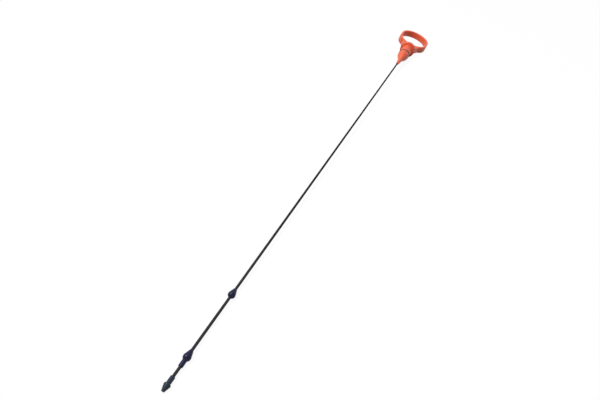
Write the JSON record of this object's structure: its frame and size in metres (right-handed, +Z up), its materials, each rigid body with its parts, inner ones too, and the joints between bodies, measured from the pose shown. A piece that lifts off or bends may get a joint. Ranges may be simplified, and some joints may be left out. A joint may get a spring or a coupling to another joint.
{
  "type": "engine oil dipstick",
  "caption": "Engine oil dipstick: thin dark rod with a barbed tip and moulded guide beads, and an orange-red handle with seal ring, flange and finger ring.",
  "frame": {"origin": "middle of the box's underside, on the surface that the dipstick lies on", "axes": "+X along the stick from the tip to the finger ring, +Y across it, +Z up from the surface"},
  "size_m": [0.5719, 0.0392, 0.0204],
  "materials": {
    "handle_plastic": "orange-red moulded plastic, slightly glossy",
    "seal_rubber": "black rubber",
    "rod_steel": "dark coated spring steel",
    "bead_plastic": "blue-black moulded plastic, semi-gloss"
  },
  "bodies": {
    "root": {"handle": "handle_plastic", "seal_ring": "seal_rubber", "rod": "rod_steel", "upper_bead": "bead_plastic", "lower_bead": "bead_plastic", "tip": "bead_plastic"}
  },
  "joints": []
}
